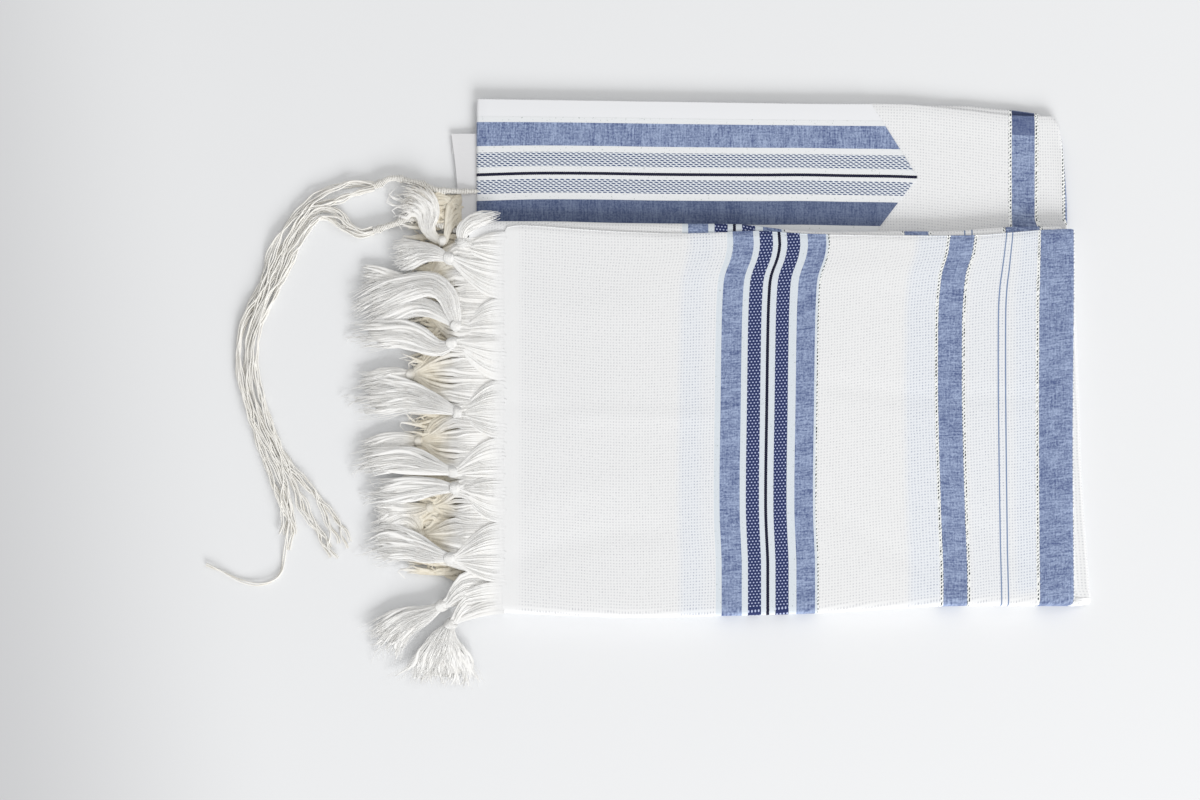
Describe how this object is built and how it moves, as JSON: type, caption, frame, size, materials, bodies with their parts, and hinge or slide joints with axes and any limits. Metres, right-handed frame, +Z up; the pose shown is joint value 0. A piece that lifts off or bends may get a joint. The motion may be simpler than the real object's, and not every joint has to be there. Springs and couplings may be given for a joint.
{
  "type": "tallit prayer shawl, folded flat",
  "caption": "White woven prayer shawl folded flat into a rectangle, with blue woven stripes, a pointed collar band, knotted warp fringe and long corner tassels.",
  "frame": {"origin": "on the flat underside, under the folded-up front, about the middle of the folded cloth", "axes": "+X along the shawl's length, away from its fringed ends; +Y towards its neck edge; +Z up, away from the surface it lies on"},
  "size_m": [0.621, 0.4137, 0.0124],
  "materials": {
    "cloth": "fine plain weave, matt, with woven blue stripes edged in metallic thread",
    "band": "woven ribbon, soft satin sheen",
    "satin": "white satin, soft sheen",
    "fringe": "loose matt thread",
    "tzitzit": "twisted cream wool string, matt"
  },
  "bodies": {
    "root": {"back_panel": "cloth", "collar_band": "band", "corner_patch": "satin", "fringe_01": "fringe", "fringe_02": "fringe", "fringe_03": "fringe", "fringe_04": "fringe", "fringe_05": "fringe", "fringe_06": "fringe", "fringe_07": "fringe", "fringe_08": "fringe", "fringe_09": "fringe", "fringe_10": "fringe", "fringe_11": "fringe", "fringe_12": "fringe", "fringe_13": "fringe", "fringe_14": "fringe", "fringe_15": "fringe", "fringe_corner": "fringe", "front_flap": "cloth", "inner_folds": "cloth", "tzitzit_inner": "tzitzit", "tzitzit_outer": "tzitzit"}
  },
  "joints": []
}
